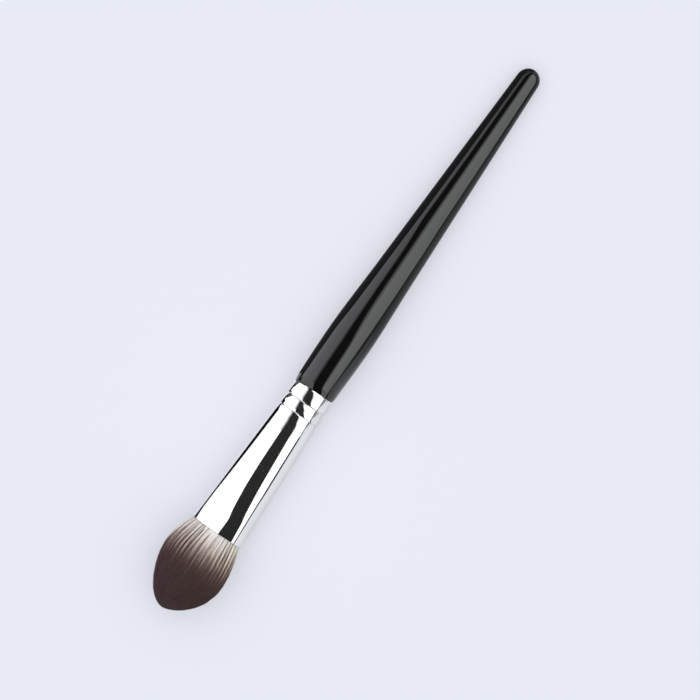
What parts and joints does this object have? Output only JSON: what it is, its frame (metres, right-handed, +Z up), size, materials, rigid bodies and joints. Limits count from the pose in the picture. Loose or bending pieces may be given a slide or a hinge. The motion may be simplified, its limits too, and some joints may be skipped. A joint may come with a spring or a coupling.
{
  "type": "blush brush",
  "caption": "Tapered make-up brush with a flame-shaped two-tone tuft, crimped plated ferrule and slim black lacquered wooden handle, lying on its side.",
  "frame": {"origin": "centre of the bounding box at its base, on the surface that the brush lies on", "axes": "+X along the brush towards the tip of the hair, +Z up; the brush lies on the belly of its hair and the round end of its handle, so its own axis climbs towards the hair by 2.4 degrees"},
  "size_m": [0.1798, 0.0202, 0.0204],
  "materials": {
    "black_lacquer": "turned wood under a high-gloss black lacquer",
    "bright_plating": "mirror-bright plated thin metal",
    "two_tone_fibre": "soft synthetic fibre, pale at the root and dark brown at the tip",
    "amber_resin": "cast resin",
    "waxed_thread": "waxed thread",
    "clear_adhesive": "set adhesive"
  },
  "bodies": {
    "root": {"handle": "black_lacquer", "ferrule": "bright_plating", "tuft": "two_tone_fibre", "glue_plug": "amber_resin", "tuft_tie": "waxed_thread", "handle_glue": "clear_adhesive"}
  },
  "joints": []
}
